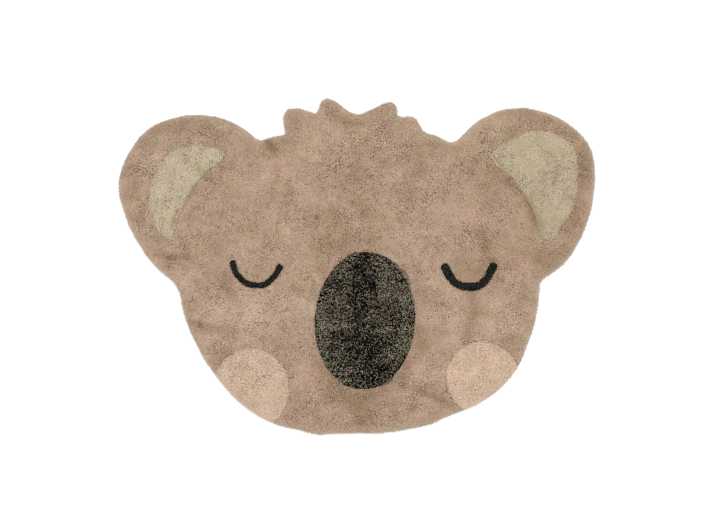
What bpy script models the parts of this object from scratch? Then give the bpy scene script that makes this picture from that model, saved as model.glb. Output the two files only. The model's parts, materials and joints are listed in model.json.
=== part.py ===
"""Koala shaped tufted rug, lying flat with its pile up.

The ground cloth and the brown pile are one flat solid. The inner ears, the nose, the eyes and the
cheeks are areas tufted in yarns of their own: each stands in a pocket of the brown pile, on the
ground cloth, with a carved line round it.

Metres. +X is the rug's right, +Y its hair, +Z up. The origin is the middle of the rug on the floor.
"""

from math import ceil, cos, hypot, pi, radians, sin

import bmesh
import bpy
from mathutils import Vector
from mathutils.geometry import delaunay_2d_cdt, interpolate_bezier

# Driving dimensions
RUG_WIDTH = 1.200  # ear to ear
RUG_THICKNESS = 0.014  # floor to the tips of the pile
GROUND_THICKNESS = 0.002  # backing and ground weave under the pile
YARN_GAP = 0.0003  # clearance round and under each inlaid area
CARVE_WIDTH = 0.0026  # half of the carved line, at the tips of the pile
CARVE_DEPTH = 0.0045
RIM_WIDTH = 0.009  # how far in the pile starts to bend over the edge
RIM_DEPTH = 0.005
HEM_TUCK = 0.002  # the ground cloth stops short of the overhanging pile
HEM_HEIGHT = 0.004
PILE_PITCH = 0.029  # spacing of the points that carry the unevenness of the pile
CUT_ABOVE = 0.006  # how far cutters stand over the pile
CUT_CLEAR = 0.0005  # where their carved edge ends, over the pile

# Outline of the rug, anticlockwise from the notch under its right ear. A row is one stretch between
# two corners: its name, the spacing of its points, and the knots of its smooth curve.
OUTLINE_RUNS = [
    ("right ear, outer", 0.016, [
        (0.461, -0.044), (0.468, -0.033), (0.487, -0.020), (0.519, 0.004), (0.546, 0.037),
        (0.567, 0.076), (0.591, 0.144), (0.5985, 0.200), (0.600, 0.240), (0.583, 0.309),
        (0.551, 0.346), (0.482, 0.386), (0.404, 0.400), (0.365, 0.395), (0.328, 0.380),
        (0.289, 0.355), (0.265, 0.330), (0.252, 0.318), (0.244, 0.313), (0.235, 0.3125)]),
    ("right ear to hair", 0.012, [
        (0.235, 0.3125), (0.199, 0.331), (0.165, 0.344), (0.159, 0.356), (0.156, 0.365)]),
    ("first lock", 0.009, [
        (0.156, 0.365), (0.142, 0.377), (0.131, 0.379), (0.114, 0.3775), (0.1025, 0.383)]),
    ("second and third lock", 0.009, [
        (0.1025, 0.383), (0.1015, 0.401), (0.088, 0.4155), (0.069, 0.412), (0.033, 0.395),
        (0.000, 0.3845), (-0.021, 0.3925), (-0.050, 0.415), (-0.073, 0.4235), (-0.088, 0.417),
        (-0.097, 0.397), (-0.104, 0.386)]),
    ("fourth lock", 0.010, [
        (-0.104, 0.386), (-0.124, 0.393), (-0.157, 0.3995), (-0.178, 0.393), (-0.186, 0.375),
        (-0.183, 0.353), (-0.181, 0.334)]),
    ("hair to left ear", 0.012, [
        (-0.181, 0.334), (-0.193, 0.331), (-0.209, 0.328), (-0.241, 0.318)]),
    ("left ear and cheek", 0.017, [
        (-0.241, 0.318), (-0.250, 0.3205), (-0.262, 0.331), (-0.294, 0.354), (-0.348, 0.377),
        (-0.391, 0.3815), (-0.428, 0.381), (-0.476, 0.370), (-0.506, 0.359), (-0.562, 0.306),
        (-0.583, 0.269), (-0.596, 0.235), (-0.600, 0.205), (-0.586, 0.137), (-0.554, 0.065),
        (-0.510, 0.003), (-0.476, -0.027), (-0.460, -0.041), (-0.450, -0.057), (-0.437, -0.115),
        (-0.431, -0.134), (-0.409, -0.186), (-0.370, -0.254), (-0.322, -0.317), (-0.262, -0.368),
        (-0.190, -0.402), (-0.153, -0.410), (-0.112, -0.4205), (-0.093, -0.4235)]),
    ("chin and right cheek", 0.018, [
        (-0.093, -0.4235), (-0.050, -0.4215), (0.010, -0.4205), (0.066, -0.419), (0.118, -0.412),
        (0.177, -0.400), (0.231, -0.377), (0.287, -0.355), (0.354, -0.314), (0.405, -0.255),
        (0.435, -0.183), (0.446, -0.152), (0.455, -0.106), (0.461, -0.044)]),
]

# The pale areas inside the ears: closed smooth curves, anticlockwise through these knots.
INNER_EAR_LEFT = [
    (-0.331, 0.278), (-0.337, 0.288), (-0.374, 0.302), (-0.419, 0.308), (-0.464, 0.290),
    (-0.493, 0.258), (-0.514, 0.220), (-0.522, 0.174), (-0.514, 0.127), (-0.497, 0.085),
    (-0.478, 0.067), (-0.464, 0.067), (-0.460, 0.086), (-0.450, 0.122), (-0.429, 0.165),
    (-0.402, 0.211), (-0.366, 0.248), (-0.339, 0.267)]
INNER_EAR_RIGHT = [
    (0.336, 0.280), (0.340, 0.264), (0.358, 0.247), (0.391, 0.223), (0.421, 0.179), (0.445, 0.133),
    (0.457, 0.090), (0.471, 0.069), (0.484, 0.067), (0.498, 0.076), (0.516, 0.103), (0.543, 0.143),
    (0.553, 0.190), (0.557, 0.250), (0.546, 0.297), (0.514, 0.329), (0.470, 0.341),
    (0.424, 0.338), (0.387, 0.322), (0.350, 0.298)]
EAR_STEP = 0.014

# The nose is a leaning oval.
NOSE_CENTRE = (0.020, -0.1365)
NOSE_HALF_WIDTH = 0.126
NOSE_HALF_HEIGHT = 0.173
NOSE_LEAN = radians(-3.7)
NOSE_POINTS = 64

# Each closed eye is a stroke with blunt ends, along a smooth curve from its left end to its right.
EYE_ROWS = [
    # name, stroke width, knots
    ("eye_left", 0.0152, [
        (-0.3122, 0.0110), (-0.3075, -0.0068), (-0.2965, -0.0250), (-0.2765, -0.0415),
        (-0.2500, -0.0478), (-0.2305, -0.0445), (-0.2125, -0.0295), (-0.1985, -0.0120),
        (-0.1930, 0.0005)]),
    ("eye_right", 0.0196, [
        (0.2200, 0.0010), (0.2283, -0.0140), (0.2405, -0.0350), (0.2580, -0.0470),
        (0.2830, -0.0512), (0.3060, -0.0480), (0.3250, -0.0325), (0.3365, -0.0115),
        (0.3440, 0.0035)]),
]
EYE_STEP = 0.010
EYE_END_POINTS = 4
EYE_END_REACH = 0.65  # how far an end stands out, in halves of the stroke's width

# Each cheek is a round spot that the edge of the rug cuts off: its radius swells and draws in a
# little, twice on the way round.
CHEEK_ROWS = [
    # name, centre, radius, swell, direction of the swell
    ("cheek_left", (-0.268, -0.309), 0.1005, 0.030, 75),
    ("cheek_right", (0.320, -0.285), 0.0955, 0.040, 130),
]
CHEEK_POINTS = 44

# Lasting marks of folding and wear in the pile: shallow troughs that run from start to end.
PILE_MARKS = [
    # start, end, half width, depth
    ((0.002, 0.354), (-0.015, 0.241), 0.024, 0.0012),
    ((0.052, 0.195), (-0.030, 0.135), 0.028, 0.0014),
    ((-0.020, 0.120), (0.030, 0.065), 0.030, 0.0016),
    ((0.316, 0.180), (0.314, 0.040), 0.022, 0.0012),
    ((0.290, -0.070), (0.279, -0.195), 0.022, 0.0016),
    ((-0.480, 0.023), (-0.392, 0.028), 0.022, 0.0012),
    ((-0.425, -0.135), (-0.317, -0.160), 0.024, 0.0014),
    ((0.436, 0.015), (0.524, 0.028), 0.024, 0.0014),
    ((0.110, -0.280), (0.235, -0.342), 0.022, 0.0014),
    ((-0.217, 0.304), (-0.205, 0.290), 0.026, 0.0020),
]

# Slow swells of the pile: height, waves for each metre along X and Y, start of the wave.
PILE_SWELLS = [
    (0.00040, 3.1, 1.3, 0.4),
    (0.00035, -1.7, 3.9, 2.1),
    (0.00030, 5.3, -2.6, 4.0),
]

# Yarns: colour and roughness
YARNS = {
    "brown": ((0.418, 0.287, 0.205), 0.95),
    "pale_green": ((0.485, 0.400, 0.272), 0.95),
    "black_mix": ((0.045, 0.040, 0.030), 0.92),
    "black": ((0.011, 0.014, 0.015), 0.90),
    "blush": ((0.591, 0.429, 0.316), 0.95),
}

FINE_STEPS = 12  # points between two knots before they are spaced evenly
HANDLE_REACH = 0.345  # a Bezier handle's share of its chord
EDGE_STEPS = 2  # facets of a rounded edge
MITRE_LIMIT = 0.6  # least cosine that a sharp corner is moved with
LATTICE_CLEARANCE = 0.6  # least distance of a lattice point from an edge, in pitches
WELD_DISTANCE = 0.00005


def clear_scene():
    for obj in list(bpy.data.objects):
        bpy.data.objects.remove(obj, do_unlink=True)


# Paths


def spaced_evenly(path, step):
    """The path from its first point to just before its last, in equal steps of about step."""
    reach = [0.0]
    for a, b in zip(path, path[1:]):
        reach.append(reach[-1] + (b - a).length)
    count = max(2, round(reach[-1] / step))
    points = []
    at = 0
    for k in range(count):
        want = reach[-1] * k / count
        while reach[at + 1] < want:
            at += 1
        share = (want - reach[at]) / (reach[at + 1] - reach[at])
        points.append(path[at].lerp(path[at + 1], share))
    return points


def direction_at(knots, i):
    """The curve's direction at knot i, which leans to the nearer of the knots beside it."""
    before = knots[i] - knots[i - 1]
    after = knots[i + 1] - knots[i]
    return (before.normalized() * after.length + after.normalized() * before.length).normalized()


def smooth_path(knots, step, closed=False):
    """Evenly spaced points on a smooth curve; an open one leaves out its last knot."""
    knots = [Vector(knot) for knot in knots]
    if closed:
        knots = [knots[-1]] + knots + knots[:2]
    directions = [direction_at(knots, i) for i in range(1, len(knots) - 1)]
    if closed:
        knots = knots[1:-1]
    else:
        first = (knots[1] - knots[0]).normalized()
        last = (knots[-1] - knots[-2]).normalized()
        directions.insert(0, directions[0].reflect(first.orthogonal().normalized()))
        directions.append(directions[-1].reflect(last.orthogonal().normalized()))
    path = [knots[0]]
    for i in range(len(knots) - 1):
        reach = (knots[i + 1] - knots[i]).length * HANDLE_REACH
        leave = knots[i] + directions[i] * reach
        arrive = knots[i + 1] - directions[i + 1] * reach
        path += interpolate_bezier(knots[i], leave, arrive, knots[i + 1], FINE_STEPS)[1:]
    return spaced_evenly(path, step)


def rug_outline():
    """The whole outline, with its box centred on the origin and as wide as the rug."""
    loop = []
    for _, step, knots in OUTLINE_RUNS:
        loop += smooth_path(knots, step)
    low = Vector((min(p.x for p in loop), min(p.y for p in loop)))
    high = Vector((max(p.x for p in loop), max(p.y for p in loop)))
    scale = RUG_WIDTH / (high.x - low.x)
    return [(p - (low + high) / 2) * scale for p in loop]


def oval(centre, half_width, half_height, lean, count):
    loop = []
    for k in range(count):
        angle = 2 * pi * k / count
        x = half_width * cos(angle)
        y = half_height * sin(angle)
        loop.append(Vector((centre[0] + x * cos(lean) - y * sin(lean),
                            centre[1] + x * sin(lean) + y * cos(lean))))
    return loop


def spot(centre, radius, swell, swell_angle, count):
    loop = []
    for k in range(count):
        angle = 2 * pi * k / count
        reach = radius * (1 + swell * cos(2 * (angle - radians(swell_angle))))
        loop.append(Vector((centre[0] + reach * cos(angle), centre[1] + reach * sin(angle))))
    return loop


def stroke_end(middle, direction, half):
    """The blunt end of a stroke, from its right side round to its left."""
    right = Vector((direction.y, -direction.x))
    turns = [pi * k / EYE_END_POINTS for k in range(EYE_END_POINTS + 1)]
    return [middle + (right * cos(turn) + direction * sin(turn) * EYE_END_REACH) * half
            for turn in turns]


def stroke(knots, width):
    """The anticlockwise outline of a stroke along the smooth curve through the knots."""
    middle = smooth_path(knots, EYE_STEP) + [Vector(knots[-1])]
    left = []
    right = []
    for before, here, after in zip(middle, middle[1:], middle[2:]):
        across = (after - before).normalized().orthogonal() * width / 2
        left.append(here + across)
        right.append(here - across)
    start = stroke_end(middle[0], (middle[0] - middle[1]).normalized(), width / 2)
    end = stroke_end(middle[-1], (middle[-1] - middle[-2]).normalized(), width / 2)
    return start + right + end + left[::-1]


def grown(loop, distance):
    """The anticlockwise loop moved outwards by distance, or inwards where it is negative."""
    moved = []
    for i, point in enumerate(loop):
        along = (point - loop[i - 1]).normalized()
        onward = (loop[(i + 1) % len(loop)] - point).normalized()
        out = Vector((along.y + onward.y, -along.x - onward.x)).normalized()
        cosine = out.dot(Vector((along.y, -along.x)))
        moved.append(point + out * distance / max(MITRE_LIMIT, cosine))
    return moved


# Pile


def mark_depth(x, y):
    """How far the pile is pressed down at a place by the marks in it."""
    depth = 0.0
    for start, end, half_width, mark in PILE_MARKS:
        run = Vector(end) - Vector(start)
        away = Vector((x, y)) - Vector(start)
        share = min(1.0, max(0.0, away.dot(run) / run.length_squared))
        distance = (away - run * share).length / half_width
        if distance < 1:
            depth += mark * (1 - distance * distance) ** 2
    return depth


def pile_height(x, y):
    swell = sum(height * sin(2 * pi * (across * x + along * y) + start)
                for height, across, along, start in PILE_SWELLS)
    most = sum(row[0] for row in PILE_SWELLS)
    return RUG_THICKNESS - most + swell - mark_depth(x, y)


def inside(loop, x, y):
    crossings = 0
    for a, b in zip(loop, loop[1:] + loop[:1]):
        if (a.y > y) != (b.y > y) and x < a.x + (b.x - a.x) * (y - a.y) / (b.y - a.y):
            crossings += 1
    return crossings % 2 == 1


def distance_to(loop, x, y):
    nearest = RUG_WIDTH
    for a, b in zip(loop, loop[1:] + loop[:1]):
        run = b - a
        share = ((x - a.x) * run.x + (y - a.y) * run.y) / run.length_squared
        share = min(1.0, max(0.0, share))
        nearest = min(nearest, hypot(x - a.x - run.x * share, y - a.y - run.y * share))
    return nearest


def points_inside(loop, pitch):
    """A triangular lattice of points that stays clear of the loop."""
    row_height = pitch * sin(pi / 3)
    low_x, low_y = min(p.x for p in loop), min(p.y for p in loop)
    high_x, high_y = max(p.x for p in loop), max(p.y for p in loop)
    points = []
    for row in range(1, ceil((high_y - low_y) / row_height)):
        y = low_y + row * row_height
        for column in range(ceil((high_x - low_x) / pitch) + 1):
            x = low_x + (column + row % 2 / 2) * pitch
            if inside(loop, x, y) and distance_to(loop, x, y) > pitch * LATTICE_CLEARANCE:
                points.append(Vector((x, y)))
    return points


# Solids


def mesh_object(name, bm):
    bmesh.ops.recalc_face_normals(bm, faces=bm.faces)
    mesh = bpy.data.meshes.new(name)
    bm.to_mesh(mesh)
    bm.free()
    obj = bpy.data.objects.new(name, mesh)
    bpy.context.scene.collection.objects.link(obj)
    return obj


def add_ring(bm, loop, height):
    return [bm.verts.new((p.x, p.y, height)) for p in loop]


def add_pile_ring(bm, loop, above):
    """A ring of vertices that keeps one height above the top of the pile, or below it."""
    return [bm.verts.new((p.x, p.y, pile_height(p.x, p.y) + above)) for p in loop]


def join_rings(bm, lower, upper):
    count = len(lower)
    for i in range(count):
        j = (i + 1) % count
        bm.faces.new((lower[i], lower[j], upper[j], upper[i]))


def rounded_edge(width, depth):
    """From the side up: how far in each ring of a rounded edge lies, and how far below the top."""
    turns = [pi / 2 * k / EDGE_STEPS for k in range(EDGE_STEPS + 1)]
    return [(width * (1 - cos(turn)), depth * (1 - sin(turn))) for turn in turns]


def pile_slab(outline):
    """The whole rug without its inlays: flat underneath, rounded at the rim, uneven on top."""
    bm = bmesh.new()
    rings = [add_ring(bm, grown(outline, -HEM_TUCK), 0.0), add_ring(bm, outline, HEM_HEIGHT)]
    bm.faces.new(rings[0])
    edge = rounded_edge(RIM_WIDTH, RIM_DEPTH)
    for inset, drop in edge[:-1]:
        rings.append(add_pile_ring(bm, grown(outline, -inset), -drop))
    rim = grown(outline, -RIM_WIDTH)
    points = rim + points_inside(rim, PILE_PITCH)
    filled = delaunay_2d_cdt(points, [], [list(range(len(rim)))], 1, WELD_DISTANCE)
    top = add_pile_ring(bm, filled[0], 0.0)
    rings.append(top[:len(rim)])
    for lower, upper in zip(rings, rings[1:]):
        join_rings(bm, lower, upper)
    for face in filled[2]:
        bm.faces.new([top[i] for i in face])
    return mesh_object("pile_slab", bm)


def carved_pillar(name, outline, base, side):
    """A solid over an outline. Its upper edge is carved inwards (side -1) or flares out (side 1)."""
    bm = bmesh.new()
    rings = [add_ring(bm, outline, base)]
    for shift, drop in rounded_edge(CARVE_WIDTH, CARVE_DEPTH):
        rings.append(add_pile_ring(bm, grown(outline, side * shift), CUT_CLEAR - drop))
    rings.append(add_pile_ring(bm, grown(outline, side * CARVE_WIDTH), CUT_ABOVE))
    for lower, upper in zip(rings, rings[1:]):
        join_rings(bm, lower, upper)
    bm.faces.new(rings[0])
    bm.faces.new(rings[-1])
    return mesh_object(name, bm)


def make_guide(obj):
    obj.hide_render = True
    obj.display_type = "WIRE"
    return obj


def add_cut(obj, operation, other):
    cut = obj.modifiers.new(operation.lower() + " " + other.name, "BOOLEAN")
    cut.operation = operation
    cut.solver = "EXACT"
    cut.object = other


def add_weld(obj):
    weld = obj.modifiers.new("weld", "WELD")
    weld.merge_threshold = WELD_DISTANCE


def add_yarn(obj, yarn):
    colour, roughness = YARNS[yarn]
    material = bpy.data.materials.new(obj.name + " " + yarn)
    material.use_nodes = True
    shader = material.node_tree.nodes["Principled BSDF"]
    shader.inputs["Base Color"].default_value = (*colour, 1.0)
    shader.inputs["Roughness"].default_value = roughness
    shader.inputs["Metallic"].default_value = 0.0
    material.diffuse_color = (*colour, 1.0)
    obj.data.materials.append(material)


def inlay_table():
    """Name, outline and yarn of each inlaid area."""
    rows = [
        ("inner_ear_left", smooth_path(INNER_EAR_LEFT, EAR_STEP, closed=True), "pale_green"),
        ("inner_ear_right", smooth_path(INNER_EAR_RIGHT, EAR_STEP, closed=True), "pale_green"),
        ("nose", oval(NOSE_CENTRE, NOSE_HALF_WIDTH, NOSE_HALF_HEIGHT, NOSE_LEAN, NOSE_POINTS),
         "black_mix"),
    ]
    for name, width, knots in EYE_ROWS:
        rows.append((name, stroke(knots, width), "black"))
    for name, centre, radius, swell, swell_angle in CHEEK_ROWS:
        rows.append((name, spot(centre, radius, swell, swell_angle, CHEEK_POINTS), "blush"))
    return rows


def main():
    clear_scene()
    outline = rug_outline()
    field = pile_slab(outline)
    field.name = "pile_field"
    slab = make_guide(pile_slab(outline))
    for name, loop, yarn in inlay_table():
        inlay = carved_pillar(name, loop, GROUND_THICKNESS + YARN_GAP, -1)
        add_cut(inlay, "INTERSECT", slab)
        add_weld(inlay)
        add_yarn(inlay, yarn)
        pocket = carved_pillar(name + "_pocket", grown(loop, YARN_GAP), GROUND_THICKNESS, 1)
        add_cut(field, "DIFFERENCE", make_guide(pocket))
    add_weld(field)
    add_yarn(field, "brown")


main()
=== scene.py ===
import json
from math import pi

import bpy
import numpy as np
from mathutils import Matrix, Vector
from mathutils.bvhtree import BVHTree

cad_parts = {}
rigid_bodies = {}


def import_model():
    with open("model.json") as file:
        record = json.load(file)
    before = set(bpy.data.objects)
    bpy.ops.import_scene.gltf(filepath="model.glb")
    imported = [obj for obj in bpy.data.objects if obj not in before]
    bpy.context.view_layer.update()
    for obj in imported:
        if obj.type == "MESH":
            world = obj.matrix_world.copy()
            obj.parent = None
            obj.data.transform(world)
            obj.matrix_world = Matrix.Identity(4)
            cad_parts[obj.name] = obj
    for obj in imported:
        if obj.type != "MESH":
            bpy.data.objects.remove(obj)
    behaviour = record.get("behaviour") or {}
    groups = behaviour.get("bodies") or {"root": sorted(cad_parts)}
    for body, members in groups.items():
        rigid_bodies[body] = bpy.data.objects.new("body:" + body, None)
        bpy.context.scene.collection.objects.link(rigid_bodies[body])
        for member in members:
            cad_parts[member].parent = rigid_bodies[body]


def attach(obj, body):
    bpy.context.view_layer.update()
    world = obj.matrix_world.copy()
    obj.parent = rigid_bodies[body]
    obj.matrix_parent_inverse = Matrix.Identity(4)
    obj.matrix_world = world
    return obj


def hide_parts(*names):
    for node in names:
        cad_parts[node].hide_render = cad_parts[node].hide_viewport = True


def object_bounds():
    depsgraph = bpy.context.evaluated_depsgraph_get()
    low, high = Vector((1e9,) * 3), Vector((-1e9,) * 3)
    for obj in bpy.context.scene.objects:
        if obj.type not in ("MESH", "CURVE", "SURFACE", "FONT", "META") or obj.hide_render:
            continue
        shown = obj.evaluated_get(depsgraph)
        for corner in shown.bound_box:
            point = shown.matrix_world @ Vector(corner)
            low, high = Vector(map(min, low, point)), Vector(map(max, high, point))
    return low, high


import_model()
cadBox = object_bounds()  # the solids' own box, before anything is dressed
mm = 0.001


# Camera: straight down, as the rug was photographed on the floor

view = {
    "lens": 50,
    "sensor": 36,
    "seenWidth": 1.782,  # what the picture's width spans on top of the pile
    "middle": (-0.0045, 0.0329),
}


def placeCamera():
    away = view["seenWidth"] * view["lens"] / view["sensor"]
    bpy.ops.object.camera_add(location=(*view["middle"], cadBox[1][2] + away), rotation=(0, 0, 0))
    camera = bpy.context.object
    camera.name = "camera"
    camera.data.lens = view["lens"]
    camera.data.sensor_width = view["sensor"]
    bpy.context.scene.camera = camera
    bpy.context.scene.view_settings.view_transform = "Standard"


# Small helpers for modelling

def deselectAll():
    if bpy.context.mode != "OBJECT":
        bpy.ops.object.mode_set(mode="OBJECT")
    bpy.ops.object.select_all(action="DESELECT")


def mergedCopy(node, name):
    source = bpy.data.objects[node]
    piece = bpy.data.objects.new(name, source.data.copy())
    piece.data.name = name
    piece.data.materials.clear()
    bpy.context.scene.collection.objects.link(piece)
    deselectAll()
    piece.select_set(True)
    bpy.context.view_layer.objects.active = piece
    bpy.ops.object.mode_set(mode="EDIT")
    bpy.ops.mesh.select_all(action="SELECT")
    bpy.ops.mesh.remove_doubles(threshold=0.01 * mm)
    return piece  # still in edit mode, all of it selected


def cutFlat(height, keepBelow):
    bpy.ops.mesh.select_all(action="SELECT")
    bpy.ops.mesh.bisect(plane_co=(0, 0, height), plane_no=(0, 0, 1), use_fill=True,
                        clear_outer=keepBelow, clear_inner=not keepBelow)


def dress(piece, node, material):
    piece.data.materials.append(material)
    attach(piece, "root")
    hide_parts(node)


# Reading the solids: where an area of pile starts and ends, and how high it stands

def sliceAt(node, height):
    mesh = bpy.data.objects[node].data
    mesh.calc_loop_triangles()
    points = np.empty(len(mesh.vertices) * 3)
    mesh.vertices.foreach_get("co", points)
    corners = np.empty(len(mesh.loop_triangles) * 3, dtype=np.int64)
    mesh.loop_triangles.foreach_get("vertices", corners)
    triangles = points.reshape(-1, 3)[corners.reshape(-1, 3)]
    above = triangles[:, :, 2] > height
    triangles = triangles[(above.sum(1) > 0) & (above.sum(1) < 3)]
    edges = []
    for corner in triangles:
        ends = []
        for a, b in ((0, 1), (1, 2), (2, 0)):
            low, high = corner[a], corner[b]
            if (low[2] > height) != (high[2] > height):
                ends.append((low + (high - low) * (height - low[2]) / (high[2] - low[2]))[:2])
        edges.append(ends)
    return np.array(edges)


def inBatches(points, size=6000):
    return [slice(start, start + size) for start in range(0, len(points), size)]


def insideOf(points, edges):
    start, end = edges[:, 0], edges[:, 1]
    rise = np.where(end[:, 1] == start[:, 1], 1, end[:, 1] - start[:, 1])
    inside = np.zeros(len(points), dtype=bool)
    for batch in inBatches(points):
        x, y = points[batch, 0, None], points[batch, 1, None]
        crossed = (start[:, 1] > y) != (end[:, 1] > y)
        meets = start[:, 0] + (end[:, 0] - start[:, 0]) * (y - start[:, 1]) / rise
        inside[batch] = (crossed & (x < meets)).sum(1) % 2 == 1
    return inside


def depthInside(points, edges):
    # how deep each point lies inside the edges, less than 0 outside them, and the way further in
    start = edges[:, 0]
    run = edges[:, 1] - start
    square = np.maximum((run ** 2).sum(1), 1e-14)
    away = np.empty_like(points)
    for batch in inBatches(points):
        share = np.clip(((points[batch, None] - start) * run).sum(2) / square, 0, 1)
        gap = points[batch, None] - start - run * share[:, :, None]
        nearest = (gap ** 2).sum(2).argmin(1)
        away[batch] = gap[np.arange(len(gap)), nearest]
    side = np.where(insideOf(points, edges), 1, -1)
    distance = np.linalg.norm(away, axis=1)
    return distance * side, away * (side / np.maximum(distance, 1e-9))[:, None]


def topHeights(node, spots):
    # a spot just beside the solid takes the height of its nearest point
    solid = BVHTree.FromObject(bpy.data.objects[node], bpy.context.evaluated_depsgraph_get())
    down = Vector((0, 0, -1))
    heights = []
    for x, y in spots:
        hit = solid.ray_cast(Vector((x, y, 1)), down)[0]
        if hit is None:
            hit = solid.find_nearest(Vector((x, y, pile["searchHeight"])))[0]
        heights.append(hit.z)
    return np.array(heights)


# Slow changes over the rug

def waveSet(longest, shortest, seed, count):
    # random waves of these lengths: the ways they run, their turns per metre and their phases
    dice = np.random.default_rng(seed)
    turn = dice.uniform(0, 2 * pi, count)
    length = np.exp(dice.uniform(np.log(shortest), np.log(longest), count))
    way = np.stack([np.cos(turn), np.sin(turn)], 1)
    return way, 2 * pi / length[:, None] * way, dice.uniform(0, 2 * pi, count)


def waves(points, longest, shortest, seed, stretch=(1, 1), count=40):
    # a smooth random value around 0, with hills this long, stretched along X or Y
    way, turns, phase = waveSet(longest, shortest, seed, count)
    turns = turns / np.array(stretch)
    return np.cos(points @ turns.T + phase).sum(1) * (2 / count) ** 0.5


def ripples(points, longest, shortest, seed, count=70):
    # a smooth random height and the way it rises
    way, turns, phase = waveSet(longest, shortest, seed, count)
    phase = points @ turns.T + phase
    scale = (2 / count) ** 0.5
    return np.cos(phase).sum(1) * scale, -np.sin(phase) @ way * scale


def smooth(share):
    share = np.clip(share, 0, 1)
    return share * share * (3 - 2 * share)


# each kind of wave has its own fixed seed, so that every run makes the same rug
seeds = {"lean": 11, "streaks": 21, "flecks": 22, "paintedNapShade": 31, "rough": 41, "clumps": 50,
         "paintedPartingShade": 51, "rows": 61}


# Shader groups that more than one finish uses

def newGroup(name, inputs, outputs):
    group = bpy.data.node_groups.new(name, "ShaderNodeTree")
    for direction, sockets in (("INPUT", inputs), ("OUTPUT", outputs)):
        for label, kind, value in sockets:
            socket = group.interface.new_socket(
                name=label, in_out=direction, socket_type="NodeSocket" + kind)
            if value is not None:
                socket.default_value = value
    return group, group.nodes.new("NodeGroupInput").outputs, group.nodes.new("NodeGroupOutput").inputs


def addNode(tree, kind, settings=None, **values):
    # a node with its own settings, and what its sockets hold or are fed by; at0 is the first socket
    node = tree.nodes.new("ShaderNode" + kind)
    for key, value in (settings or {}).items():
        setattr(node, key, value)
    for key, value in values.items():
        place = int(key[2:]) if key.startswith("at") else key.replace("_", " ")
        socket = node.inputs[place]
        if isinstance(value, bpy.types.NodeSocket):
            tree.links.new(value, socket)
        else:
            socket.default_value = value
    return node


def makeYarnShade():
    # the dyed yarn, with painted shade darker down in the pile, painted light and shade where the nap
    # lies and in soft patches, and worn at the rim
    group, given, result = newGroup("yarnShade", [
        ("Yarn", "Color", (0.5, 0.5, 0.5, 1)),
        ("From Root", "Float", 1.0),
        ("Nap", "Float", 0.0),
        ("Root Shade", "Float", 0.5),
        ("Mottle", "Float", 0.05),
        ("Mottle Size", "Float", 0.05),
        ("Nap Tint", "Vector", (0.86, 0.97, 1.28)),
        ("Dye Drift", "Float", 0.20),
        ("Drift Size", "Float", 0.03),
        ("Fibre", "Float", 0.5),
        ("Fibre Shade", "Float", 0.35),
        ("Fray", "Float", 0.0),
        ("Frayed", "Color", (0.66, 0.74, 0.72, 1)),
    ], [("Color", "Color", None)])
    place = addNode(group, "TexCoord").outputs["Object"]
    # painted light and shade in soft patches, added to the nap's painted light and shade
    mottleTurns = addNode(group, "Math", {"operation": "DIVIDE"}, at0=1.0, at1=given["Mottle Size"])
    noise = addNode(group, "TexNoise",
                    Vector=place, Scale=mottleTurns.outputs[0], Detail=3.0, Roughness=0.6)
    centred = addNode(group, "Math", {"operation": "SUBTRACT"}, at0=noise.outputs["Fac"], at1=0.5)
    patchy = addNode(group, "Math", {"operation": "MULTIPLY_ADD"},
                     at0=centred.outputs[0], at1=given["Mottle"], at2=given["Nap"])
    lit = addNode(group, "Math", {"operation": "SUBTRACT"}, at0=given["Fibre"], at1=0.5)
    shade = addNode(group, "Math", {"operation": "MULTIPLY_ADD"},
                    at0=lit.outputs[0], at1=given["Fibre Shade"], at2=patchy.outputs[0])
    tint = addNode(group, "VectorMath", {"operation": "SCALE"},
                   at0=given["Nap Tint"], Scale=shade.outputs[0])
    gain = addNode(group, "VectorMath", {"operation": "ADD"}, at0=tint.outputs[0], at1=(1, 1, 1))
    # painted shade: darker towards the tuft's root, down to Root Shade
    depth = addNode(group, "MapRange", {"interpolation_type": "SMOOTHSTEP"},
                    Value=given["From Root"], From_Min=0.1, From_Max=0.95,
                    To_Min=given["Root Shade"], To_Max=1.0)
    deepPaintedShade = addNode(group, "VectorMath", {"operation": "SCALE"},
                   at0=gain.outputs[0], Scale=depth.outputs[0])
    driftTurns = addNode(group, "Math", {"operation": "DIVIDE"}, at0=1.0, at1=given["Drift Size"])
    drift = addNode(group, "TexNoise",
                    Vector=place, Scale=driftTurns.outputs[0], Detail=4.0, Roughness=0.75)
    hue = addNode(group, "VectorMath", {"operation": "SUBTRACT"},
                  at0=drift.outputs["Color"], at1=(0.5, 0.5, 0.5))
    hueGain = addNode(group, "VectorMath", {"operation": "SCALE"},
                      at0=hue.outputs[0], Scale=given["Dye Drift"])
    yarn = addNode(group, "VectorMath", {"operation": "MULTIPLY_ADD"},
                   at0=given["Yarn"], at1=hueGain.outputs[0], at2=given["Yarn"])
    dyed = addNode(group, "VectorMath", {"operation": "MULTIPLY"},
                   at0=yarn.outputs[0], at1=deepPaintedShade.outputs[0])
    frayed = addNode(group, "MixRGB",
                     Fac=given["Fray"], Color1=dyed.outputs[0], Color2=given["Frayed"])
    group.links.new(frayed.outputs[0], result["Color"])
    return group


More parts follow.
